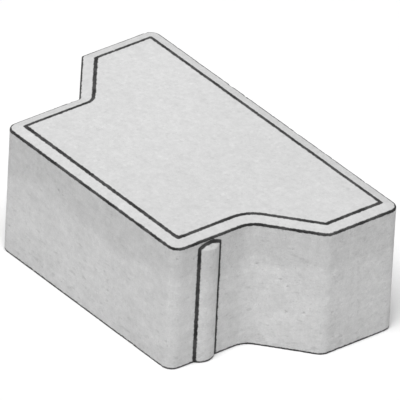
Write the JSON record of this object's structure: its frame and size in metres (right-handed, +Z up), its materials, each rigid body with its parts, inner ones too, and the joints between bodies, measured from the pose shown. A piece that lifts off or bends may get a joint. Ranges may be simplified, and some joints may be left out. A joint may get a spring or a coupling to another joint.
{
  "type": "interlocking concrete paving stone, half size",
  "caption": "T-shaped half paving stone of grey concrete with a chamfered top and an upright spacer rib on each end of its waist.",
  "frame": {"origin": "middle of the underside: halfway along the head, halfway between the two long sides, on the face that lies on the bedding", "axes": "+X along the head, +Y from the waist side to the head side, +Z up through the chamfered top face"},
  "size_m": [0.165, 0.097, 0.06],
  "materials": {
    "concrete": "fine-grained pressed concrete, matt, light neutral grey"
  },
  "bodies": {
    "root": {"paving_stone": "concrete"}
  },
  "joints": []
}
